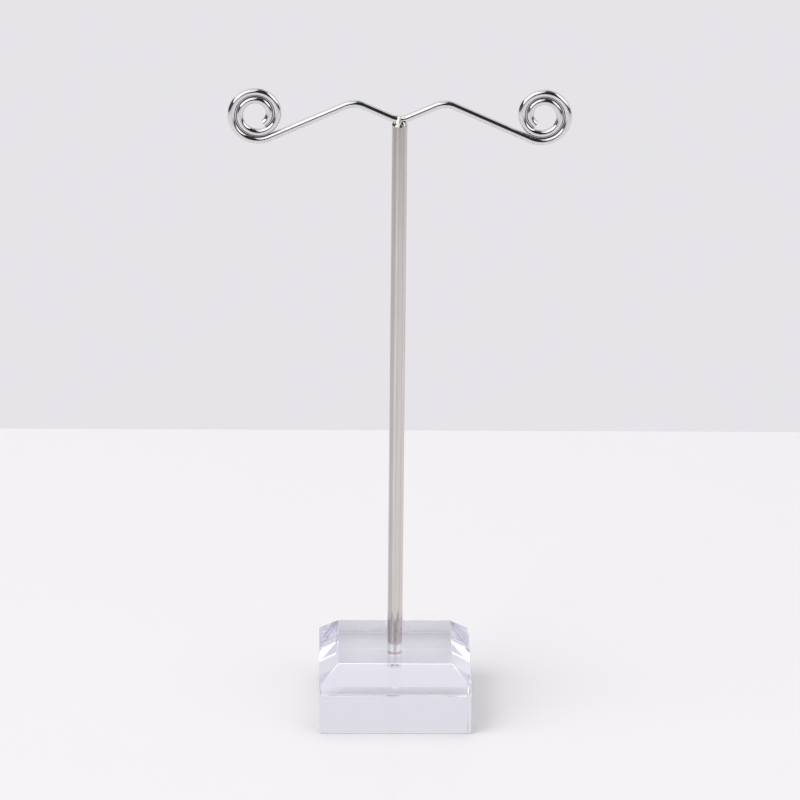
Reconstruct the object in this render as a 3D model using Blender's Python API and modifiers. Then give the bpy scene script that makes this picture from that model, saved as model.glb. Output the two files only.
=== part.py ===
# Earring stand: a clear block, an upright rod in it, and one bent wire across the top
# whose two ends roll up into scrolls. Earrings hang from the wire and in the scroll eyes.
#
# Metres, +Z up, +X to the right, front towards -Y.
# The origin is under the middle of the block, on the surface that the stand rests on.

import math

import bmesh
import bpy

# Driving sizes of the block
BASE_WIDTH = 0.0305
BASE_DEPTH = 0.0305
BASE_HEIGHT = 0.0136
BEVEL_RUN = 0.0039
BEVEL_DROP = 0.0033
CORNER_ROUNDING = 0.0006
POLISH_ROUNDING = 0.0002

# Driving sizes of the drilled socket in the block, whose floor is what the drill's tip leaves
SOCKET_FLOOR = 0.0052
SOCKET_CLEARANCE = 0.0001
DRILL_POINT_ANGLE = math.radians(118.0)

# Driving sizes of the adhesive under the rod
ADHESIVE_THICKNESS = 0.0004
ADHESIVE_CLEARANCE = 0.0001

# Driving sizes of the rod
POST_DIAMETER = 0.0030
POST_LENGTH = 0.1163
POST_END_CHAMFER = 0.0002

# Driving sizes of the solder between the rod and the wire
SOLDER_WEB = 0.00015
SOLDER_RISE = 0.0015
SOLDER_RIM = 0.0001
SOLDER_CLEARANCE = 0.0001

# Driving sizes of the wire
WIRE_DIAMETER = 0.0015
BEND_RADIUS = 0.0044
ARM_SLOPE = math.radians(24.1)
APEX_SPACING = 0.01775
OUTER_RUN = 0.0182

# Driving sizes of the scrolls at the wire's ends
SCROLL_END_RADIUS = 0.00226
SCROLL_TURNS = 1.975
TURN_GAP = 0.0001

# Fineness of the round shapes
ROUND_STEPS = 40
EDGE_STEPS = 3
WIRE_RESOLUTION = 4
BEND_STEPS = 8
SCROLL_STEPS_PER_TURN = 32
OVERSHOOT = 0.001
MERGE_DISTANCE = 0.000001
SMOOTH_ANGLE = math.radians(35.0)

# Sizes that follow from the driving ones
POST_RADIUS = POST_DIAMETER / 2
WIRE_RADIUS = WIRE_DIAMETER / 2
SOCKET_RADIUS = POST_RADIUS + SOCKET_CLEARANCE
DRILL_HALF_ANGLE = DRILL_POINT_ANGLE / 2
SOCKET_SHOULDER_Z = SOCKET_FLOOR + SOCKET_RADIUS / math.tan(DRILL_HALF_ANGLE)
POST_BOTTOM_Z = SOCKET_SHOULDER_Z + ADHESIVE_THICKNESS
POST_TOP_Z = POST_BOTTOM_Z + POST_LENGTH
SOLDER_BASE_Z = POST_TOP_Z + SOLDER_CLEARANCE
WIRE_SEAT_Z = SOLDER_BASE_Z + SOLDER_WEB + SOLDER_CLEARANCE
VEE_Z = WIRE_SEAT_Z + WIRE_RADIUS
SCROLL_PITCH = WIRE_DIAMETER + TURN_GAP
SCROLL_START_RADIUS = SCROLL_END_RADIUS + SCROLL_PITCH * SCROLL_TURNS

# Finishes: colour, metallic, roughness and how far light passes through
FINISHES = {
    "clear_acrylic": ((0.93, 0.92, 0.96, 1.0), 0.0, 0.03, 1.0),
    "satin_steel": ((0.58, 0.55, 0.53, 1.0), 1.0, 0.32, 0.0),
    "chromed_wire": ((0.86, 0.86, 0.87, 1.0), 1.0, 0.06, 0.0),
    "solder": ((0.70, 0.69, 0.66, 1.0), 1.0, 0.24, 0.0),
    "adhesive": ((0.90, 0.90, 0.92, 1.0), 0.0, 0.10, 1.0),
}


def remove_scene_objects():
    for obj in list(bpy.data.objects):
        bpy.data.objects.remove(obj, do_unlink=True)


def new_collection(name):
    collection = bpy.data.collections.new(name)
    bpy.context.scene.collection.children.link(collection)
    return collection


def new_material(name):
    colour, metallic, roughness, transmission = FINISHES[name]
    material = bpy.data.materials.new(name)
    material.use_nodes = True
    material.diffuse_color = colour
    shader = material.node_tree.nodes["Principled BSDF"]
    shader.inputs["Base Color"].default_value = colour
    shader.inputs["Metallic"].default_value = metallic
    shader.inputs["Roughness"].default_value = roughness
    shader.inputs["Transmission Weight"].default_value = transmission
    return material


def mesh_from_bmesh(bm, name):
    mesh = bpy.data.meshes.new(name)
    bm.to_mesh(mesh)
    bm.free()
    return mesh


def shade_round(mesh):
    mesh.shade_smooth()
    mesh.set_sharp_from_angle(angle=SMOOTH_ANGLE)


def place(name, data, collection, parent=None, z=0.0, finish=None):
    """Add an object of this mesh or curve at height z, with its finish."""
    obj = bpy.data.objects.new(name, data)
    obj.location.z = z
    obj.parent = parent
    collection.objects.link(obj)
    if finish:
        data.materials.append(new_material(finish))
    return obj


def mark_cutter(obj):
    obj.hide_render = True
    obj.display_type = "WIRE"


def turned_profile(points, name):
    """An open edge chain of (radius, height) points, which a Screw modifier turns."""
    bm = bmesh.new()
    verts = [bm.verts.new((radius, 0.0, height)) for radius, height in points]
    for upper, lower in zip(verts, verts[1:]):
        bm.edges.new((upper, lower))
    return mesh_from_bmesh(bm, name)


def add_turning(obj):
    screw = obj.modifiers.new("turned", "SCREW")
    screw.axis = "Z"
    screw.steps = ROUND_STEPS
    screw.render_steps = ROUND_STEPS
    screw.use_merge_vertices = True
    screw.merge_threshold = MERGE_DISTANCE
    screw.use_smooth_shade = False


def turned_solid(name, points, collection, parent=None, z=0.0, finish=None):
    """A solid of revolution whose profile runs down its outer side, top to bottom."""
    obj = place(name, turned_profile(points, name), collection, parent, z, finish)
    add_turning(obj)
    evaluated = obj.evaluated_get(bpy.context.evaluated_depsgraph_get())
    mesh = bpy.data.meshes.new_from_object(evaluated)
    obj.modifiers.clear()
    obj.data = mesh
    shade_round(mesh)
    return obj


def subtract(obj, cutter):
    boolean = obj.modifiers.new("cut_" + cutter.name, "BOOLEAN")
    boolean.operation = "DIFFERENCE"
    boolean.solver = "EXACT"
    boolean.object = cutter


def wire_tube(name, points, radius, collection, parent=None, z=0.0, finish=None):
    """A round wire with closed ends along points in the XZ plane."""
    curve = bpy.data.curves.new(name, "CURVE")
    curve.dimensions = "3D"
    curve.bevel_depth = radius
    curve.bevel_resolution = WIRE_RESOLUTION
    curve.use_fill_caps = True
    spline = curve.splines.new("POLY")
    spline.points.add(len(points) - 1)
    for point, (x, height) in zip(spline.points, points):
        point.co = (x, 0.0, height, 1.0)
    spline.use_smooth = True
    return place(name, curve, collection, parent, z, finish)


def meshed_copy(curve_obj):
    """The same shape as a mesh with welded caps, in place of the curve object."""
    bpy.context.view_layer.update()
    evaluated = curve_obj.evaluated_get(bpy.context.evaluated_depsgraph_get())
    mesh = bpy.data.meshes.new_from_object(evaluated)
    bm = bmesh.new()
    bm.from_mesh(mesh)
    bmesh.ops.remove_doubles(bm, verts=bm.verts, dist=MERGE_DISTANCE)
    bm.to_mesh(mesh)
    bm.free()
    name = curve_obj.name
    collection = curve_obj.users_collection[0]
    world = curve_obj.matrix_world.copy()
    bpy.data.objects.remove(curve_obj, do_unlink=True)
    obj = bpy.data.objects.new(name, mesh)
    obj.matrix_world = world
    collection.objects.link(obj)
    return obj


# The wire's path, in its own plane with the middle of its vee at (0, 0)
def arc(centre, radius, start, sweep, steps):
    """Points along an arc, without its first one."""
    points = []
    for i in range(1, steps + 1):
        angle = start + sweep * i / steps
        x = centre[0] + radius * math.cos(angle)
        height = centre[1] + radius * math.sin(angle)
        points.append((x, height))
    return points


def vee_points():
    """Half of the bend that lies on the rod, from its lowest point outwards."""
    return arc((0.0, BEND_RADIUS), BEND_RADIUS, -math.pi / 2, ARM_SLOPE, BEND_STEPS // 2)


def apex_corner():
    """Where the two straight runs on either side of an apex would meet."""
    sagitta = BEND_RADIUS * (1 / math.cos(ARM_SLOPE) - 1)
    x = APEX_SPACING / 2
    return x, x * math.tan(ARM_SLOPE) - sagitta


def apex_points():
    """The bend at an apex, from the rising run to the falling one."""
    x, height = apex_corner()
    centre = (x, height - BEND_RADIUS / math.cos(ARM_SLOPE))
    start = math.pi / 2 + ARM_SLOPE
    tangent = arc(centre, BEND_RADIUS, start, 0.0, 1)
    return tangent + arc(centre, BEND_RADIUS, start, -2 * ARM_SLOPE, BEND_STEPS)


def scroll_points():
    """The scroll, from the end of the falling run inwards, as an even spiral."""
    corner_x, corner_height = apex_corner()
    start_x = corner_x + OUTER_RUN * math.cos(ARM_SLOPE)
    start_height = corner_height - OUTER_RUN * math.sin(ARM_SLOPE)
    # the spiral narrows as it turns, so its radius leads the wire by a little over a right angle
    narrowing = SCROLL_PITCH / (2 * math.pi)
    lead = math.atan(narrowing / SCROLL_START_RADIUS)
    start = -ARM_SLOPE - math.pi / 2 - lead
    centre_x = start_x - SCROLL_START_RADIUS * math.cos(start)
    centre_height = start_height - SCROLL_START_RADIUS * math.sin(start)
    steps = math.ceil(SCROLL_TURNS * SCROLL_STEPS_PER_TURN)
    points = []
    for i in range(steps + 1):
        sweep = 2 * math.pi * SCROLL_TURNS * i / steps
        radius = SCROLL_START_RADIUS - narrowing * sweep
        x = centre_x + radius * math.cos(start + sweep)
        height = centre_height + radius * math.sin(start + sweep)
        points.append((x, height))
    return points


def mirrored(points):
    return [(-x, height) for x, height in reversed(points)]


def wire_points():
    """The whole wire, from one scroll's inner end to the other's."""
    half = vee_points() + apex_points() + scroll_points()
    return mirrored(half) + [(0.0, 0.0)] + half


# The pieces
def make_base_block(collection, cutters, parent):
    """The clear block: square, bevelled round its top, with the rod's socket drilled in it."""
    fold_z = BASE_HEIGHT - BEVEL_DROP
    bm = bmesh.new()
    bmesh.ops.create_cube(bm, size=1.0)
    bmesh.ops.scale(bm, vec=(BASE_WIDTH, BASE_DEPTH, BASE_HEIGHT), verts=bm.verts)
    bmesh.ops.translate(bm, vec=(0.0, 0.0, BASE_HEIGHT / 2), verts=bm.verts)
    everything = bm.verts[:] + bm.edges[:] + bm.faces[:]
    bmesh.ops.bisect_plane(bm, geom=everything, plane_co=(0, 0, fold_z), plane_no=(0, 0, 1))
    for vert in bm.verts:
        if vert.co.z > fold_z + BEVEL_DROP / 2:
            vert.co.x -= math.copysign(BEVEL_RUN, vert.co.x)
            vert.co.y -= math.copysign(BEVEL_RUN, vert.co.y)
    weights = bm.edges.layers.float.new("bevel_weight_edge")
    for edge in bm.edges:
        low, high = sorted(vert.co.z for vert in edge.verts)
        is_upright = low < fold_z / 2 < high
        edge[weights] = 1.0 if is_upright else POLISH_ROUNDING / CORNER_ROUNDING
    block = place("base_block", mesh_from_bmesh(bm, "base_block"), collection, parent,
                  finish="clear_acrylic")
    rounding = block.modifiers.new("rounded_edges", "BEVEL")
    rounding.limit_method = "WEIGHT"
    rounding.width = CORNER_ROUNDING
    rounding.segments = EDGE_STEPS
    socket_profile = [
        (0.0, BASE_HEIGHT + OVERSHOOT),
        (SOCKET_RADIUS, BASE_HEIGHT + OVERSHOOT),
        (SOCKET_RADIUS, SOCKET_SHOULDER_Z),
        (0.0, SOCKET_FLOOR),
    ]
    socket = turned_solid("socket_drill", socket_profile, cutters)
    mark_cutter(socket)
    subtract(block, socket)
    return block


def make_post(collection, parent):
    """The upright rod, with a small chamfer at both ends."""
    profile = [
        (0.0, POST_LENGTH),
        (POST_RADIUS - POST_END_CHAMFER, POST_LENGTH),
        (POST_RADIUS, POST_LENGTH - POST_END_CHAMFER),
        (POST_RADIUS, POST_END_CHAMFER),
        (POST_RADIUS - POST_END_CHAMFER, 0.0),
        (0.0, 0.0),
    ]
    return turned_solid("post_rod", profile, collection, parent, POST_BOTTOM_Z, "satin_steel")


def make_adhesive(collection, parent):
    """The drop of adhesive under the rod, which fills the drill's point."""
    radius = SOCKET_RADIUS - ADHESIVE_CLEARANCE
    tip_z = SOCKET_FLOOR + ADHESIVE_CLEARANCE / math.sin(DRILL_HALF_ANGLE)
    profile = [
        (0.0, POST_BOTTOM_Z - ADHESIVE_CLEARANCE),
        (radius, POST_BOTTOM_Z - ADHESIVE_CLEARANCE),
        (radius, tip_z + radius / math.tan(DRILL_HALF_ANGLE)),
        (0.0, tip_z),
    ]
    return turned_solid("adhesive_drop", profile, collection, parent, finish="adhesive")


def make_wire(collection, parent):
    """The one wire: a vee on the rod, an apex on either side of it, and the two scrolls."""
    return wire_tube("scroll_wire", wire_points(), WIRE_RADIUS, collection, parent, VEE_Z,
                     "chromed_wire")


def make_solder(collection, cutters, parent):
    """The low dome of solder on the rod's end, in which the wire's vee is bedded."""
    radius = POST_RADIUS - SOLDER_RIM
    bm = bmesh.new()
    bmesh.ops.create_uvsphere(bm, u_segments=ROUND_STEPS, v_segments=ROUND_STEPS // 2, radius=1.0)
    bmesh.ops.scale(bm, vec=(radius, radius, SOLDER_RISE), verts=bm.verts)
    everything = bm.verts[:] + bm.edges[:] + bm.faces[:]
    cut = bmesh.ops.bisect_plane(bm, geom=everything, dist=MERGE_DISTANCE, plane_co=(0, 0, 0),
                                 plane_no=(0, 0, 1), clear_inner=True)
    rim = [item for item in cut["geom_cut"] if isinstance(item, bmesh.types.BMEdge)]
    bmesh.ops.contextual_create(bm, geom=rim)
    bmesh.ops.recalc_face_normals(bm, faces=bm.faces)
    mesh = mesh_from_bmesh(bm, "solder_bead")
    shade_round(mesh)
    bead = place("solder_bead", mesh, collection, parent, SOLDER_BASE_Z, "solder")
    # the bed is the wire's middle stretch, wider by the clearance
    reach = [point for point in wire_points() if abs(point[0]) < APEX_SPACING / 2]
    bed = wire_tube("wire_bed", reach, WIRE_RADIUS + SOLDER_CLEARANCE, cutters, z=VEE_Z)
    bed = meshed_copy(bed)
    mark_cutter(bed)
    subtract(bead, bed)
    return bead


def build():
    remove_scene_objects()
    parts = new_collection("earring_stand")
    cutters = new_collection("cutters")
    root = bpy.data.objects.new("stand_origin", None)
    parts.objects.link(root)
    make_base_block(parts, cutters, root)
    make_adhesive(parts, root)
    make_post(parts, root)
    make_solder(parts, cutters, root)
    make_wire(parts, root)


build()
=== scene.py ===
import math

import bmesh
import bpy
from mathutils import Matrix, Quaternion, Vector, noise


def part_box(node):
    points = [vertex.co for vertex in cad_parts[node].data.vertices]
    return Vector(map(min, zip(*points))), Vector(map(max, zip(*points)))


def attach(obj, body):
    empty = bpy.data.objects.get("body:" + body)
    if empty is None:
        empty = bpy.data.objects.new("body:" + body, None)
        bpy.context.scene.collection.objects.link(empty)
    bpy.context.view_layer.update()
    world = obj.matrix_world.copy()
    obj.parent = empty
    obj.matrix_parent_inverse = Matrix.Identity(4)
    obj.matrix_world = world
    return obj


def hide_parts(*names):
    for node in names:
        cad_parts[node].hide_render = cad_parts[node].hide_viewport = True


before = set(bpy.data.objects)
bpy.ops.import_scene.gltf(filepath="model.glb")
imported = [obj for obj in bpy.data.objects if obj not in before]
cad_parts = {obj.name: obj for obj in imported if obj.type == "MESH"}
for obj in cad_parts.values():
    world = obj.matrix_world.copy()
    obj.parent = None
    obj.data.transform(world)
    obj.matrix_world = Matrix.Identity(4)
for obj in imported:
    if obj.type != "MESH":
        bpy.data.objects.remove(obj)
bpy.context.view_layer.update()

# The looks of an earring stand: a clear bevelled block with a steel rod glued into it, and one
# chromed wire soldered across the rod's top whose two ends roll up into scrolls.
# Metres, +Z up, +X to the right, front towards -Y.

block_low, block_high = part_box("base_block")
post_low, post_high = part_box("post_rod")
_, bead_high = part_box("solder_bead")
drop_low, drop_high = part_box("adhesive_drop")

# The block, as in the model
BEVEL_RUN = 0.0039
BEVEL_DROP = 0.0033
CORNER_ROUNDING = 0.0006
SOCKET_CLEARANCE = 0.0001
# its polished edges, which are crisper than the model's, and the eased ones that it stands on
POLISH_ROUNDING = 0.0001
FOOT_ROUNDING = 0.00042

# How deep below the block's top the adhesive stands in the socket, and how far metal that is
# wetted by adhesive reaches into the clear solid
ADHESIVE_DEPTH = 0.00475
WETTED_OVERLAP = 0.00005
DRILL_HALF_ANGLE = math.radians(59.0)

# The rod and what the wire rests on
POST_RADIUS = 0.0015
POST_END_CHAMFER = 0.0002
WIRE_SEAT_RISE = 0.00035

# The wire, as in the model
WIRE_RADIUS = 0.00075
BEND_RADIUS = 0.0044
ARM_SLOPE = math.radians(24.1)
APEX_SPACING = 0.01775
OUTER_RUN = 0.0182
SCROLL_END_RADIUS = 0.00226
SCROLL_TURNS = 1.975
TURN_GAP = 0.0001
SCROLL_PITCH = 2 * WIRE_RADIUS + TURN_GAP
SCROLL_START_RADIUS = SCROLL_END_RADIUS + SCROLL_PITCH * SCROLL_TURNS
CUT_END_ROUNDING = 0.00004

# The bead of solder: how far it stands out past the rod, how far its skirt runs down the rod, how
# far it climbs along the wire, and its ripples
BEAD_OVERHANG = 0.00002
BEAD_SKIRT = 0.00022
BEAD_WICKING = 0.00035
BEAD_RIPPLE_SIZE = 0.0007
BEAD_RIPPLE_HEIGHT = 0.00014
# as powers: how fast the skirt thins, how full the bead's side is, and how narrow the climb is
BEAD_SKIRT_POWER = 4
BEAD_SIDE_POWER = 1.7
BEAD_WICKING_POWER = 6

# The two lumps on it that cover the wire's front and fill its vee: each one's highest point, from
# the middle of the rod's end, how steeply it falls to each side, how far its front reaches before
# it drops off, and how steeply it may leave the rod's rim
SOLDER_LUMPS = (
    {
        "top": Vector((-0.00005, -0.00038, 0.00204)),
        "left": 0.65, "right": 3.0, "front": 1.41, "back": 2.0,
        "reach": 0.00100, "rim_slope": 2.2,
    },
    {
        "top": Vector((0.00095, -0.00032, 0.00200)),
        "left": 0.30, "right": 1.6, "front": 1.41, "back": 2.0,
        "reach": 0.00030, "rim_slope": 5.0,
    },
)
LUMP_FACE_SLOPE = 4.0
LUMP_SOFTNESS = 0.00006

# Fineness
ROUND_STEPS = 160
EDGE_STEPS = 6
WIRE_RESOLUTION = 18
BEND_STEPS = 40
SCROLL_STEPS_PER_TURN = 160
BEAD_RINGS = 48
BEAD_SEGMENTS = 144
OVERSHOOT = 0.001
MERGE_DISTANCE = 0.0000005
SMOOTH_ANGLE = math.radians(35.0)
FLAT_FACE_WEIGHT = 100

# The wire's finish. In all finishes a pair holds the two colours or values that it varies between,
# and marks have a size across and a height or depth, in metres.
WIRE_COLOURS = ((0.69, 0.688, 0.69, 1.0), (0.755, 0.75, 0.745, 1.0))
WIRE_ROUGHNESS = (0.02, 0.05)
WIRE_HAZE_SIZE = 0.0022
WIRE_RIPPLE_SIZE = 0.0011
WIRE_RIPPLE_HEIGHT = 0.0000030
WIRE_PIT_SIZE = 0.00030
WIRE_PIT_DEPTH = 0.0000020
# the peaks of the noise that become pits
WIRE_PIT_PEAKS = (0.74, 0.82)
# painted shade between the turns, where neighbours hide the light: how near a neighbour darkens the
# wire, and from how little open space
PAINTED_TURN_SHADE_COLOUR = (0.22, 0.21, 0.21, 1.0)
PAINTED_TURN_SHADE_REACH = 0.0010
PAINTED_TURN_SHADE_OPENNESS = (0.35, 0.80)
PAINTED_TURN_SHADE_SAMPLES = 16

# The rod's finish. The lines that drawing left are long and narrow.
ROD_COLOURS = ((0.725, 0.670, 0.655, 1.0), (0.79, 0.745, 0.73, 1.0))
ROD_ROUGHNESS = (0.06, 0.12)
ROD_PATCH_SIZE = 0.006
ROD_LINE_COLOUR = (0.65, 0.60, 0.585, 1.0)
ROD_LINE_STRETCH = (1.0, 1.0, 0.012)
ROD_LINE_SIZE = 0.00013
ROD_LINE_DEPTH = 0.0000020
ROD_BROAD_LINE_STRETCH = (1.0, 1.0, 0.02)
ROD_BROAD_LINE_SIZE = 0.0006
ROD_BROAD_LINE_DEPTH = 0.0000060
# its painted reflections, as darker and lighter streaks: where each lies round it, as a share of a
# turn, and how much of the tone is left there
PAINTED_REFLECTION_STREAKS = (
    (0.000, 0.95), (0.050, 0.82), (0.120, 0.77), (0.165, 0.76), (0.190, 0.97), (0.207, 1.00),
    (0.225, 0.92), (0.245, 0.89), (0.270, 0.98), (0.325, 0.96), (0.345, 0.80), (0.365, 0.95),
    (0.400, 1.00), (0.460, 0.82), (0.550, 0.95), (0.630, 0.84), (0.700, 1.00), (0.780, 0.90),
    (0.860, 0.80), (0.920, 0.97), (1.000, 0.95),
)

# The solder's finish
SOLDER_COLOURS = ((0.50, 0.46, 0.43, 1.0), (0.70, 0.68, 0.66, 1.0))
SOLDER_ROUGHNESS = (0.14, 0.05)
SOLDER_DULL_SIZE = 0.0005
SOLDER_GRAIN_SIZE = 0.00035
SOLDER_GRAIN_HEIGHT = 0.000016

# The acrylic's finish. What a metre of it takes away is its absorption times what its tint lacks.
LAVENDER = (0.735, 0.74, 0.94, 1.0)
ACRYLIC_ABSORPTION = 8.5
ACRYLIC_INDEX = 1.49
ACRYLIC_FILM_COLOURS = ((0.985, 0.985, 0.990, 1.0), (0.998, 0.998, 1.0, 1.0))
ACRYLIC_ROUGHNESS = (0.0, 0.012)
ACRYLIC_SMUDGE_SIZE = 0.006
# the part of the noise that shows as smudges
ACRYLIC_SMUDGE_PEAKS = (0.45, 0.8)
# faint lines from the cutter, level with the edges
CUTTER_LINE_STRETCH = (0.02, 0.02, 1.0)
CUTTER_LINE_SIZE = 0.0005
CUTTER_LINE_DEPTH = 0.0000012

# The adhesive's finish. Its index is given against the acrylic round it.
ADHESIVE_INDEX = 1.06
ADHESIVE_COLOURS = ((0.94, 0.94, 0.95, 1.0), (0.99, 0.99, 1.0, 1.0))
ADHESIVE_ROUGHNESS = (0.0, 0.06)
ADHESIVE_CLOUD_SIZE = 0.0004
ADHESIVE_CLOUD_HEIGHT = 0.000004

# The camera
CAMERA_POSITION = (-0.01526, -1.04768, 0.45450)
CAMERA_PAN = math.radians(0.866)
CAMERA_TILT = math.radians(20.362)
CAMERA_ROLL = math.radians(0.573)
CAMERA_LENS = 253.272
CAMERA_NEAR = 0.05
CAMERA_FAR = 20.0
SENSOR_WIDTH = 36.0

# How many times light may be mirrored inside the clear block, and how many times more in all
INNER_REFLECTIONS = 20
OTHER_REFLECTIONS = 4

# The table: how far it reaches to the sides, to the front and to its back edge
TABLE_SIDE = 0.90
TABLE_FRONT = 0.95
TABLE_BACK = 0.157
TABLE_THICKNESS = 0.020
# its painted falloff of light: the point on it that is painted as lit best, how far from there it
# stays pale, where the painted shade is darkest, and how much is left there
TABLE_PAINTED_LIGHT_CENTRE = (0.05, 0.0, 0.0)
TABLE_PAINTED_LIGHT_REACH = 0.40
TABLE_PAINTED_SHADE_REACH = 0.75
TABLE_PAINTED_SHADE_SHARE = 0.85
# its faint mottling and its gloss
TABLE_MOTTLE_SIZE = 0.05
TABLE_MOTTLE_SHARE = 0.985
TABLE_ROUGHNESS = 0.2
TABLE_GLOSS = 0.08
# the thin layer of air that is left under the block
RESTING_GAP = 0.00005

# The softboxes that metal and glass show: where each one's middle is, half the angle that it spans,
# and its lower and upper edge, all in degrees and seen from the wire. A brightness of 1 is that of
# white paper.
SOFTBOX_DISTANCE = 1.40
SOFTBOXES = {
    "left_softbox": {
        "azimuth": -59.5, "half_angle": 34.0, "low": 12.0, "high": 70.0, "brightness": 0.85,
    },
    "left_back_softbox": {
        "azimuth": -138.5, "half_angle": 44.5, "low": 36.0, "high": 76.0, "brightness": 0.09,
    },
    "right_softbox": {
        "azimuth": 62.0, "half_angle": 28.0, "low": 11.0, "high": 54.0, "brightness": 0.72,
    },
}
# One more in the left one's place, which neither shows and which gives the shadows their side
KEY_SOFTBOX = {**SOFTBOXES["left_softbox"], "brightness": 1.45}
# One overhead, which metal doesn't show
OVERHEAD_HEIGHT = 1.30
OVERHEAD_SIZE = 1.50
OVERHEAD_BRIGHTNESS = 1.05

# The cards in front of the softboxes, which only metal shows: how bright each is beside the wall,
# and its corners, by azimuth and elevation
CARD_DISTANCE = 1.2
CARDS = {
    "front_card": (0.04, (
        (-3, -5), (36, -5), (33, 20), (44, 38), (60, 52), (78, 55), (92, 56), (92, 61), (20, 68),
        (6, 57), (-2, 41), (-8, 25), (-12, 10),
    )),
    "front_left_card": (0.16, (
        (-24, -5), (-3, -5), (-12, 10), (-8, 25), (-17, 24), (-24, 12),
    )),
    "bright_card": (1.60, (
        (-24, 12), (-17, 24), (-8, 25), (-2, 41), (6, 57), (20, 68), (-10, 70), (-24, 62),
    )),
    "ceiling_card": (0.30, (
        (20, 68), (92, 61), (125, 60), (165, 52), (150, 72), (90, 86), (0, 80), (-10, 70),
    )),
    "left_low_card": (0.09, (
        (-148, -9), (-70, -9), (-34, -5), (-30, 1), (-50, 8), (-65, 13), (-82, 22), (-112, 25),
        (-145, 8),
    )),
    "right_low_card": (0.05, (
        (36, -9), (62, -9), (62, 6), (35, 8),
    )),
    "far_right_low_card": (0.12, (
        (62, -9), (105, -9), (100, 3), (62, 6),
    )),
}


def srgb(red, green, blue):
    """The linear colour that displays as these 8-bit values."""
    linear = []
    for value in (red, green, blue):
        share = value / 255
        linear.append(share / 12.92 if share <= 0.04045 else ((share + 0.055) / 1.055) ** 2.4)
    return (*linear, 1.0)


TABLE_COLOUR = srgb(241, 239, 241)
WALL_COLOUR = srgb(230, 228, 232)
ROOM_LIGHT = (0.356, 0.352, 0.360, 1.0)
BLACK = (0.0, 0.0, 0.0, 1.0)


# Shader nodes
# The numbers of the Mix node's sockets for colours, some of whose names occur more than once
MIX_FACTOR = 0
MIX_FIRST = 6
MIX_SECOND = 7
MIX_RESULT = 2


def add_node(tree, kind, values=None, **settings):
    """A node with these settings, and these values on its named or numbered inputs."""
    node = tree.nodes.new("ShaderNode" + kind)
    for name, setting in settings.items():
        setattr(node, name, setting)
    set_inputs(node, values or {})
    return node


def set_inputs(node, values):
    for socket, value in values.items():
        node.inputs[socket].default_value = value


def join(tree, output, node, socket):
    tree.links.new(output, node.inputs[socket])


def new_material(name):
    """A new material, its node tree and its Principled shader."""
    material = bpy.data.materials.new(name)
    material.use_nodes = True
    tree = material.node_tree
    return material, tree, tree.nodes["Principled BSDF"]


def own_coordinates(tree, scale=(1.0, 1.0, 1.0)):
    """The surface's place on the object, in metres, stretched by scale."""
    place = add_node(tree, "TexCoord").outputs["Object"]
    mapping = add_node(tree, "Mapping", {"Scale": scale})
    join(tree, place, mapping, "Vector")
    return mapping.outputs["Vector"]


def noise_value(tree, vector, size, detail=2.0, roughness=0.5):
    """Noise from 0 to 1 whose blotches are about this size in metres."""
    node = add_node(tree, "TexNoise", {"Scale": 1 / size, "Detail": detail, "Roughness": roughness})
    join(tree, vector, node, "Vector")
    return node.outputs[0]


def remapped(tree, value, low, high, start=0.3, end=0.7):
    """The value, where start becomes low and end becomes high, held between them."""
    limits = {"From Min": start, "From Max": end, "To Min": low, "To Max": high}
    node = add_node(tree, "MapRange", limits)
    join(tree, value, node, "Value")
    return node.outputs["Result"]


def blended_colour(tree, factor, first, second):
    """From the first colour at factor 0 to the second one at 1. A colour may be an output."""
    node = add_node(tree, "Mix", data_type="RGBA")
    join(tree, factor, node, MIX_FACTOR)
    for socket, colour in ((MIX_FIRST, first), (MIX_SECOND, second)):
        if hasattr(colour, "is_output"):
            join(tree, colour, node, socket)
        else:
            set_inputs(node, {socket: colour})
    return node.outputs[MIX_RESULT]


def bumped(tree, height, distance, normal=None):
    """A normal that follows a height from 0 to 1, whose full step is this distance."""
    node = add_node(tree, "Bump", {"Strength": 1.0, "Distance": distance})
    join(tree, height, node, "Height")
    if normal:
        join(tree, normal, node, "Normal")
    return node.outputs["Normal"]


def around(tree, stops):
    """A grey that changes round the Z axis, by (share of a turn, value) from -X by way of -Y."""
    turn = add_node(tree, "TexGradient", gradient_type="RADIAL")
    join(tree, own_coordinates(tree), turn, "Vector")
    ramp = add_node(tree, "ValToRGB")
    join(tree, turn.outputs["Fac"], ramp, "Fac")
    elements = ramp.color_ramp.elements
    while len(elements) < len(stops):
        elements.new(0.5)
    for element, (place, value) in zip(elements, stops):
        element.position = place
        element.color = (value, value, value, 1.0)
    return ramp.outputs["Color"]


# Finishes
def chromed_wire():
    """Bright plating with a faint haze, fine ripples, a few pits and painted shade between the
    turns.
    """
    material, tree, shader = new_material("chromed_wire")
    place = own_coordinates(tree)
    haze = noise_value(tree, place, WIRE_HAZE_SIZE, detail=3.0)
    polished = blended_colour(tree, haze, *WIRE_COLOURS)
    # painted shade: the colour darkens deep between the turns, where neighbouring turns hide the
    # light
    reach = {"Distance": PAINTED_TURN_SHADE_REACH}
    openness = add_node(
        tree, "AmbientOcclusion", reach, samples=PAINTED_TURN_SHADE_SAMPLES, only_local=True)
    unshaded = remapped(tree, openness.outputs["AO"], 0.0, 1.0, *PAINTED_TURN_SHADE_OPENNESS)
    join(tree, blended_colour(tree, unshaded, PAINTED_TURN_SHADE_COLOUR, polished), shader, "Base Color")
    set_inputs(shader, {"Metallic": 1.0})
    join(tree, remapped(tree, haze, *WIRE_ROUGHNESS), shader, "Roughness")
    rippled = bumped(tree, noise_value(tree, place, WIRE_RIPPLE_SIZE), WIRE_RIPPLE_HEIGHT)
    pits = noise_value(tree, place, WIRE_PIT_SIZE, detail=1.0)
    pitted = bumped(tree, remapped(tree, pits, 1.0, 0.0, *WIRE_PIT_PEAKS), WIRE_PIT_DEPTH, rippled)
    join(tree, pitted, shader, "Normal")
    return material


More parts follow.
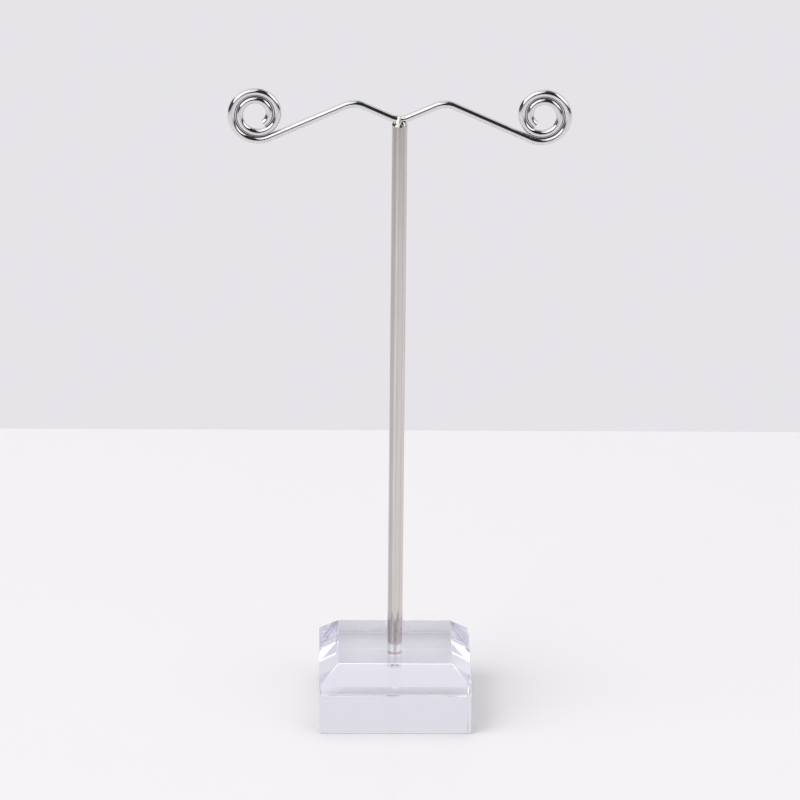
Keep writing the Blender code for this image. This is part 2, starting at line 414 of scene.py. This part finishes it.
def satin_steel():
    """Drawn steel: fine lines along the rod, slightly warm, with dull patches and painted
    reflections as streaks round it.
    """
    material, tree, shader = new_material("satin_steel")
    patches = noise_value(tree, own_coordinates(tree), ROD_PATCH_SIZE, detail=4.0)
    stretched = own_coordinates(tree, ROD_LINE_STRETCH)
    lines = noise_value(tree, stretched, ROD_LINE_SIZE, detail=3.0, roughness=0.6)
    broadly_stretched = own_coordinates(tree, ROD_BROAD_LINE_STRETCH)
    broad_lines = noise_value(tree, broadly_stretched, ROD_BROAD_LINE_SIZE)
    tone = blended_colour(tree, patches, *ROD_COLOURS)
    lined = blended_colour(tree, remapped(tree, lines, 0.0, 1.0), ROD_LINE_COLOUR, tone)
    # painted reflections: the tone is multiplied by darker and lighter streaks round the rod
    with_painted_reflections = add_node(tree, "Mix", {MIX_FACTOR: 1.0}, data_type="RGBA", blend_type="MULTIPLY")
    join(tree, lined, with_painted_reflections, MIX_FIRST)
    join(tree, around(tree, PAINTED_REFLECTION_STREAKS), with_painted_reflections, MIX_SECOND)
    join(tree, with_painted_reflections.outputs[MIX_RESULT], shader, "Base Color")
    set_inputs(shader, {"Metallic": 1.0})
    join(tree, remapped(tree, patches, *ROD_ROUGHNESS), shader, "Roughness")
    broad = bumped(tree, broad_lines, ROD_BROAD_LINE_DEPTH)
    join(tree, bumped(tree, lines, ROD_LINE_DEPTH, broad), shader, "Normal")
    return material


def solder_metal():
    """Solder that was plated over with the wire: bright, lumpy and a little dull in places."""
    material, tree, shader = new_material("solder")
    place = own_coordinates(tree)
    dull = noise_value(tree, place, SOLDER_DULL_SIZE, detail=3.0)
    join(tree, blended_colour(tree, dull, *SOLDER_COLOURS), shader, "Base Color")
    set_inputs(shader, {"Metallic": 1.0})
    join(tree, remapped(tree, dull, *SOLDER_ROUGHNESS), shader, "Roughness")
    grain = noise_value(tree, place, SOLDER_GRAIN_SIZE)
    join(tree, bumped(tree, grain, SOLDER_GRAIN_HEIGHT), shader, "Normal")
    return material


def clear_acrylic():
    """Clear acrylic, machined and polished, which takes a faint lavender tint from its depth."""
    material, tree, shader = new_material("clear_acrylic")
    smudges = noise_value(tree, own_coordinates(tree), ACRYLIC_SMUDGE_SIZE, detail=4.0)
    join(tree, blended_colour(tree, smudges, *ACRYLIC_FILM_COLOURS), shader, "Base Color")
    depth = add_node(tree, "VolumeAbsorption", {"Color": LAVENDER, "Density": ACRYLIC_ABSORPTION})
    join(tree, depth.outputs["Volume"], tree.nodes["Material Output"], "Volume")
    set_inputs(shader, {"Transmission Weight": 1.0, "IOR": ACRYLIC_INDEX})
    smudged = remapped(tree, smudges, *ACRYLIC_ROUGHNESS, *ACRYLIC_SMUDGE_PEAKS)
    join(tree, smudged, shader, "Roughness")
    cutter_lines = noise_value(tree, own_coordinates(tree, CUTTER_LINE_STRETCH), CUTTER_LINE_SIZE)
    join(tree, bumped(tree, cutter_lines, CUTTER_LINE_DEPTH), shader, "Normal")
    return material


def cured_adhesive():
    """Clear, slightly cloudy adhesive, bedded in the block."""
    material, tree, shader = new_material("adhesive")
    cloud = noise_value(tree, own_coordinates(tree), ADHESIVE_CLOUD_SIZE, detail=3.0)
    join(tree, blended_colour(tree, cloud, *ADHESIVE_COLOURS), shader, "Base Color")
    set_inputs(shader, {"Transmission Weight": 1.0, "IOR": ADHESIVE_INDEX})
    join(tree, remapped(tree, cloud, *ADHESIVE_ROUGHNESS), shader, "Roughness")
    join(tree, bumped(tree, cloud, ADHESIVE_CLOUD_HEIGHT), shader, "Normal")
    return material


def shaded(colour, share):
    """This share of a colour."""
    return (*(share * channel for channel in colour[:3]), 1.0)


def table_surface():
    """A plain pale table with a painted falloff of light, which darkens away from the stand."""
    material, tree, shader = new_material("table")
    place = own_coordinates(tree)
    mottle = noise_value(tree, place, TABLE_MOTTLE_SIZE, detail=3.0)
    pale = blended_colour(tree, mottle, shaded(TABLE_COLOUR, TABLE_MOTTLE_SHARE), TABLE_COLOUR)
    distance = add_node(tree, "VectorMath", {1: TABLE_PAINTED_LIGHT_CENTRE}, operation="DISTANCE")
    join(tree, place, distance, 0)
    reaches = (TABLE_PAINTED_LIGHT_REACH, TABLE_PAINTED_SHADE_REACH)
    # painted falloff of light: darker with distance from the stand
    painted_falloff = remapped(tree, distance.outputs["Value"], 0.0, 1.0, *reaches)
    painted_falloff_colour = blended_colour(tree, painted_falloff, pale, shaded(TABLE_COLOUR, TABLE_PAINTED_SHADE_SHARE))
    join(tree, painted_falloff_colour, shader, "Base Color")
    set_inputs(shader, {"Roughness": TABLE_ROUGHNESS, "Specular IOR Level": TABLE_GLOSS})
    return material


# Shapes
def scene_object(name, data):
    obj = bpy.data.objects.new(name, data)
    bpy.context.scene.collection.objects.link(obj)
    return obj


def mesh_object(name, bm):
    mesh = bpy.data.meshes.new(name)
    bm.to_mesh(mesh)
    bm.free()
    return scene_object(name, mesh)


def applied(obj):
    """The object with its modifiers, or its curve, made into a plain mesh."""
    bpy.context.view_layer.update()
    evaluated = obj.evaluated_get(bpy.context.evaluated_depsgraph_get())
    mesh = bpy.data.meshes.new_from_object(evaluated)
    name = obj.name
    bpy.data.objects.remove(obj, do_unlink=True)
    mesh.name = name
    return scene_object(name, mesh)


def smooth(obj):
    """Shade the object smoothly, except across its real edges."""
    obj.data.shade_smooth()
    obj.data.set_sharp_from_angle(angle=SMOOTH_ANGLE)


def box_mesh(size, middle):
    """A box of this size about its middle, still to be worked on."""
    bm = bmesh.new()
    bmesh.ops.create_cube(bm, size=1.0)
    bmesh.ops.scale(bm, vec=size, verts=bm.verts)
    bmesh.ops.translate(bm, vec=middle, verts=bm.verts)
    return bm


def turned(name, profile):
    """A solid of revolution round the Z axis from (radius, height) points."""
    bm = bmesh.new()
    verts = [bm.verts.new((radius, 0.0, height)) for radius, height in profile]
    for upper, lower in zip(verts, verts[1:]):
        bm.edges.new((upper, lower))
    geometry = bm.verts[:] + bm.edges[:]
    bmesh.ops.spin(
        bm, geom=geometry, cent=(0, 0, 0), axis=(0, 0, 1), angle=2 * math.pi, steps=ROUND_STEPS)
    bmesh.ops.remove_doubles(bm, verts=bm.verts, dist=MERGE_DISTANCE)
    bmesh.ops.recalc_face_normals(bm, faces=bm.faces)
    return mesh_object(name, bm)


def arc(centre, radius, start, sweep, steps):
    """Points along an arc, without its first one."""
    points = []
    for i in range(1, steps + 1):
        angle = start + sweep * i / steps
        points.append((centre[0] + radius * math.cos(angle), centre[1] + radius * math.sin(angle)))
    return points


def edge_rounding(low, high, middle):
    """How widely an edge of the block is rounded, by the heights of its ends."""
    if low < middle < high:
        return CORNER_ROUNDING
    if high < middle:
        return FOOT_ROUNDING
    return POLISH_ROUNDING


def rounded_block():
    """The block's outside, with its small rounded edges still to be evaluated."""
    fold_z = block_high.z - BEVEL_DROP
    bm = box_mesh(block_high - block_low, (block_high + block_low) / 2)
    everything = bm.verts[:] + bm.edges[:] + bm.faces[:]
    bmesh.ops.bisect_plane(bm, geom=everything, plane_co=(0, 0, fold_z), plane_no=(0, 0, 1))
    for vert in bm.verts:
        if vert.co.z > fold_z + BEVEL_DROP / 2:
            vert.co.x -= math.copysign(BEVEL_RUN, vert.co.x)
            vert.co.y -= math.copysign(BEVEL_RUN, vert.co.y)
    weights = bm.edges.layers.float.new("bevel_weight_edge")
    for edge in bm.edges:
        low, high = sorted(vert.co.z for vert in edge.verts)
        edge[weights] = edge_rounding(low, high, fold_z / 2) / CORNER_ROUNDING
    block = mesh_object("acrylic_block", bm)
    rounding = block.modifiers.new("rounded_edges", "BEVEL")
    rounding.limit_method = "WEIGHT"
    rounding.width = CORNER_ROUNDING
    rounding.segments = EDGE_STEPS
    return block


def socket_cutter():
    """The socket's air space, and a core inside the rod where adhesive wets the metal."""
    bore = POST_RADIUS + SOCKET_CLEARANCE
    core = POST_RADIUS - WETTED_OVERLAP
    level = block_high.z - ADHESIVE_DEPTH
    floor = post_low.z + WETTED_OVERLAP
    return turned("socket_cutter", [
        (0.0, block_high.z + OVERSHOOT),
        (bore, block_high.z + OVERSHOOT),
        (bore, level),
        (core, level - SOCKET_CLEARANCE),
        (core, floor),
        (0.0, floor),
    ])


def make_block():
    block = rounded_block()
    cutter = socket_cutter()
    cut = block.modifiers.new("socket", "BOOLEAN")
    cut.operation = "DIFFERENCE"
    cut.solver = "EXACT"
    cut.object = cutter
    block = applied(block)
    bpy.data.objects.remove(cutter, do_unlink=True)
    smooth(block)
    even = block.modifiers.new("flat_faces_stay_flat", "WEIGHTED_NORMAL")
    even.keep_sharp = True
    even.weight = FLAT_FACE_WEIGHT
    return applied(block)


def make_rod():
    quarter = math.pi / 2
    corner = POST_RADIUS - POST_END_CHAMFER
    upper = post_high.z - POST_END_CHAMFER
    lower = post_low.z + POST_END_CHAMFER
    profile = [(0.0, post_high.z), (corner, post_high.z)]
    profile += arc((corner, upper), POST_END_CHAMFER, quarter, -quarter, EDGE_STEPS)
    profile.append((POST_RADIUS, lower))
    profile += arc((corner, lower), POST_END_CHAMFER, 0.0, -quarter, EDGE_STEPS)
    profile.append((0.0, post_low.z))
    rod = turned("steel_rod", profile)
    smooth(rod)
    return rod


# The wire's path, in its own plane with the middle of its vee at (0, 0)
def apex_corner():
    """Where the two straight runs on either side of an apex would meet."""
    sagitta = BEND_RADIUS * (1 / math.cos(ARM_SLOPE) - 1)
    x = APEX_SPACING / 2
    return x, x * math.tan(ARM_SLOPE) - sagitta


def vee_points():
    return arc((0.0, BEND_RADIUS), BEND_RADIUS, -math.pi / 2, ARM_SLOPE, BEND_STEPS // 2)


def apex_points():
    x, height = apex_corner()
    centre = (x, height - BEND_RADIUS / math.cos(ARM_SLOPE))
    start = math.pi / 2 + ARM_SLOPE
    tangent = arc(centre, BEND_RADIUS, start, 0.0, 1)
    return tangent + arc(centre, BEND_RADIUS, start, -2 * ARM_SLOPE, BEND_STEPS)


def scroll_points():
    """The scroll, from the end of the falling run inwards, as an even spiral."""
    corner_x, corner_height = apex_corner()
    start_x = corner_x + OUTER_RUN * math.cos(ARM_SLOPE)
    start_height = corner_height - OUTER_RUN * math.sin(ARM_SLOPE)
    narrowing = SCROLL_PITCH / (2 * math.pi)
    lead = math.atan(narrowing / SCROLL_START_RADIUS)
    start = -ARM_SLOPE - math.pi / 2 - lead
    centre_x = start_x - SCROLL_START_RADIUS * math.cos(start)
    centre_height = start_height - SCROLL_START_RADIUS * math.sin(start)
    steps = math.ceil(SCROLL_TURNS * SCROLL_STEPS_PER_TURN)
    points = []
    for i in range(steps + 1):
        sweep = 2 * math.pi * SCROLL_TURNS * i / steps
        radius = SCROLL_START_RADIUS - narrowing * sweep
        x = centre_x + radius * math.cos(start + sweep)
        height = centre_height + radius * math.sin(start + sweep)
        points.append((x, height))
    return points


def cut_end(points):
    """The path's last stretch as (x, height, thickness), whose edge is rounded where it was cut."""
    (before_x, before_height), (x, height) = points[-2:]
    length = math.hypot(x - before_x, height - before_height)
    along = ((x - before_x) / length, (height - before_height) / length)
    end = []
    for i in range(1, EDGE_STEPS + 1):
        angle = math.pi / 2 * i / EDGE_STEPS
        back = CUT_END_ROUNDING * (1 - math.sin(angle))
        inset = CUT_END_ROUNDING * (1 - math.cos(angle))
        end.append((x - back * along[0], height - back * along[1], 1 - inset / WIRE_RADIUS))
    return end


def wire_points():
    """The whole wire from end to end, as (x, height, thickness)."""
    path = vee_points() + apex_points() + scroll_points()
    half = [(x, height, 1.0) for x, height in path[:-1]] + cut_end(path)
    other = [(-x, height, thickness) for x, height, thickness in reversed(half)]
    return other + [(0.0, 0.0, 1.0)] + half


def make_wire():
    curve = bpy.data.curves.new("wire", "CURVE")
    curve.dimensions = "3D"
    curve.bevel_depth = WIRE_RADIUS
    curve.bevel_resolution = WIRE_RESOLUTION
    curve.use_fill_caps = True
    points = wire_points()
    spline = curve.splines.new("POLY")
    spline.points.add(len(points) - 1)
    for point, (x, height, thickness) in zip(spline.points, points):
        point.co = (x, 0.0, post_high.z + WIRE_SEAT_RISE + WIRE_RADIUS + height, 1.0)
        point.radius = thickness
    wire = applied(scene_object("scrolled_wire", curve))
    bm = bmesh.new()
    bm.from_mesh(wire.data)
    bmesh.ops.remove_doubles(bm, verts=bm.verts, dist=MERGE_DISTANCE)
    bm.to_mesh(wire.data)
    bm.free()
    smooth(wire)
    return wire


# The solder. Its heights are over the rod's end.
def softened(distance):
    """The distance, with its corner at zero rounded off."""
    return math.hypot(distance, LUMP_SOFTNESS) - LUMP_SOFTNESS


def lump_height(lump, x, y):
    """How high a lump of solder stands here."""
    top = lump["top"]
    across = x - top.x
    ahead = y - top.y
    fall = softened(across) * lump["left" if across < 0 else "right"]
    fall += softened(ahead) * lump["front" if ahead < 0 else "back"]
    fall += LUMP_FACE_SLOPE * max(0.0, -ahead - lump["reach"])
    from_rim = POST_RADIUS - math.hypot(x, y)
    return min(top.z - fall, lump["rim_slope"] * from_rim)


def merged(first, second):
    """The higher of two heights, with a soft change from one to the other."""
    high = max(first, second)
    shares = math.exp((first - high) / LUMP_SOFTNESS) + math.exp((second - high) / LUMP_SOFTNESS)
    return high + LUMP_SOFTNESS * math.log(shares)


def bead_point(ring, segment):
    """A point of the solder. Ring 0 is its lower edge, on the rod's side."""
    angle = math.pi / 2 * ring / BEAD_RINGS
    turn = 2 * math.pi * segment / BEAD_SEGMENTS
    outwards = Vector((math.cos(turn), math.sin(turn), 0.0))
    rise = bead_high.z - post_high.z
    skirt = BEAD_SKIRT * (1 - ring / BEAD_RINGS) ** BEAD_SKIRT_POWER
    along_wire = abs(outwards.x) ** BEAD_WICKING_POWER
    point = outwards * (POST_RADIUS + BEAD_OVERHANG) * math.cos(angle)
    point.z = post_high.z - skirt + rise * math.sin(angle) ** BEAD_SIDE_POWER
    point.z += BEAD_WICKING * along_wire * math.cos(angle) * math.sin(2 * angle)
    ripple = noise.noise(point / BEAD_RIPPLE_SIZE)
    point += outwards * BEAD_RIPPLE_HEIGHT * ripple * math.sin(2 * angle)
    point.z += BEAD_RIPPLE_HEIGHT * ripple * math.sin(angle)
    if ring:
        height = point.z - post_high.z
        for lump in SOLDER_LUMPS:
            height = merged(height, lump_height(lump, point.x, point.y))
        point.z = post_high.z + height
    return point


def make_solder():
    """A lumpy bead that floods the rod's end and climbs the wire that is bedded in it."""
    bm = bmesh.new()
    loops = []
    for ring in range(BEAD_RINGS):
        points = [bead_point(ring, segment) for segment in range(BEAD_SEGMENTS)]
        loops.append([bm.verts.new(point) for point in points])
    for lower, upper in zip(loops, loops[1:]):
        for i in range(BEAD_SEGMENTS):
            j = (i + 1) % BEAD_SEGMENTS
            bm.faces.new((lower[i], lower[j], upper[j], upper[i]))
    summit = bm.verts.new((0.0, 0.0, bead_high.z))
    for i in range(BEAD_SEGMENTS):
        j = (i + 1) % BEAD_SEGMENTS
        bm.faces.new((loops[-1][i], loops[-1][j], summit))
    bm.faces.new(list(reversed(loops[0])))
    bmesh.ops.recalc_face_normals(bm, faces=bm.faces)
    bead = mesh_object("solder_fillet", bm)
    bead.data.shade_smooth()
    return bead


def make_adhesive():
    """The adhesive in the drill's point under the rod."""
    radius = drop_high.x
    tip = drop_low.z
    shoulder = tip + radius / math.tan(DRILL_HALF_ANGLE)
    drop = turned("adhesive_in_socket", [
        (0.0, drop_high.z),
        (radius, drop_high.z),
        (radius, shoulder),
        (0.0, tip),
    ])
    smooth(drop)
    return drop


def add_piece(piece, node, material):
    """The piece stands for a node of the model, with that finish."""
    piece.data.materials.clear()
    piece.data.materials.append(material)
    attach(piece, "root")
    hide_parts(node)


# Surroundings
def add_table():
    size = (2 * TABLE_SIDE, TABLE_FRONT + TABLE_BACK, TABLE_THICKNESS)
    middle = (0.0, (TABLE_BACK - TABLE_FRONT) / 2, -RESTING_GAP - TABLE_THICKNESS / 2)
    table = mesh_object("table", box_mesh(size, middle))
    table.data.materials.append(table_surface())


def direction(azimuth, elevation):
    """The unit vector towards an azimuth, which is 0 to the front and grows to the right."""
    azimuth = math.radians(azimuth)
    elevation = math.radians(elevation)
    level = math.cos(elevation)
    return Vector((level * math.sin(azimuth), -level * math.cos(azimuth), math.sin(elevation)))


def lit_panel(name, width, height, brightness):
    """A lit panel that faces down."""
    lamp = bpy.data.lights.new(name, "AREA")
    lamp.shape = "RECTANGLE"
    lamp.size = width
    lamp.size_y = height
    lamp.energy = brightness * math.pi * width * height
    panel = scene_object(name, lamp)
    panel.visible_camera = False
    return panel


def add_softbox(name, azimuth, half_angle, low, high, brightness):
    """An upright lit panel, by the angles that it spans."""
    bottom = post_high.z + SOFTBOX_DISTANCE * math.tan(math.radians(low))
    top = post_high.z + SOFTBOX_DISTANCE * math.tan(math.radians(high))
    width = 2 * SOFTBOX_DISTANCE * math.tan(math.radians(half_angle))
    softbox = lit_panel(name, width, top - bottom, brightness)
    painted_falloff = direction(azimuth, 0.0)
    softbox.location = painted_falloff * SOFTBOX_DISTANCE + Vector((0.0, 0.0, (bottom + top) / 2))
    softbox.rotation_mode = "QUATERNION"
    softbox.rotation_quaternion = painted_falloff.to_track_quat("Z", "Y")
    return softbox


def add_lights():
    for name, span in SOFTBOXES.items():
        add_softbox(name, **span)
    key = add_softbox("key_softbox", **KEY_SOFTBOX)
    key.visible_glossy = False
    key.visible_transmission = False
    overhead = lit_panel("overhead_light", OVERHEAD_SIZE, OVERHEAD_SIZE, OVERHEAD_BRIGHTNESS)
    overhead.location.z = OVERHEAD_HEIGHT
    overhead.visible_glossy = False


def add_card(name, brightness, corners):
    """A card that only gives the metal its bands. Its corners are azimuths and elevations."""
    aim = Vector((0.0, 0.0, post_high.z))
    bm = bmesh.new()
    bm.faces.new([bm.verts.new(aim + direction(*corner) * CARD_DISTANCE) for corner in corners])
    card = mesh_object(name, bm)
    material, _, shader = new_material(name)
    set_inputs(shader, {
        "Base Color": BLACK,
        "Specular IOR Level": 0.0,
        "Emission Color": WALL_COLOUR,
        "Emission Strength": brightness,
    })
    card.data.materials.append(material)
    card.visible_camera = False
    card.visible_transmission = False
    card.visible_diffuse = False
    card.visible_shadow = False


def paint_room():
    """A plain pale wall all round, to the eye and in glass and metal, and a plain room light."""
    world = bpy.data.worlds.new("room")
    bpy.context.scene.world = world
    world.use_nodes = True
    tree = world.node_tree
    wall = tree.nodes["Background"]
    set_inputs(wall, {"Color": WALL_COLOUR})
    light = add_node(tree, "Background", {"Color": ROOM_LIGHT})
    path = add_node(tree, "LightPath")
    seen = path.outputs["Is Camera Ray"]
    for kind in ("Is Glossy Ray", "Is Transmission Ray"):
        either = add_node(tree, "Math", operation="MAXIMUM")
        join(tree, seen, either, 0)
        join(tree, path.outputs[kind], either, 1)
        seen = either.outputs["Value"]
    chosen = add_node(tree, "MixShader")
    join(tree, seen, chosen, 0)
    join(tree, light.outputs["Background"], chosen, 1)
    join(tree, wall.outputs["Background"], chosen, 2)
    join(tree, chosen.outputs["Shader"], tree.nodes["World Output"], "Surface")


def add_camera():
    camera = bpy.data.cameras.new("camera")
    camera.lens = CAMERA_LENS
    camera.sensor_width = SENSOR_WIDTH
    camera.clip_start = CAMERA_NEAR
    camera.clip_end = CAMERA_FAR
    viewer = scene_object("camera", camera)
    viewer.location = CAMERA_POSITION
    level = math.cos(CAMERA_TILT)
    ahead = Vector((
        level * math.sin(CAMERA_PAN),
        level * math.cos(CAMERA_PAN),
        -math.sin(CAMERA_TILT),
    ))
    roll = Quaternion((0, 0, 1), CAMERA_ROLL)
    viewer.rotation_mode = "QUATERNION"
    viewer.rotation_quaternion = ahead.to_track_quat("-Z", "Y") @ roll
    bpy.context.scene.camera = viewer


def allow_inner_reflections():
    """Light seen through the block's bevels has been mirrored inside it six times or more."""
    light_paths = bpy.context.scene.cycles
    light_paths.glossy_bounces = INNER_REFLECTIONS
    light_paths.transmission_bounces = INNER_REFLECTIONS
    light_paths.max_bounces = INNER_REFLECTIONS + OTHER_REFLECTIONS


add_camera()
add_piece(make_block(), "base_block", clear_acrylic())
add_piece(make_rod(), "post_rod", satin_steel())
add_piece(make_wire(), "scroll_wire", chromed_wire())
add_piece(make_solder(), "solder_bead", solder_metal())
add_piece(make_adhesive(), "adhesive_drop", cured_adhesive())
add_table()
add_lights()
for name, (brightness, corners) in CARDS.items():
    add_card(name, brightness, corners)
paint_room()
bpy.context.scene.view_settings.view_transform = "Standard"
allow_inner_reflections()
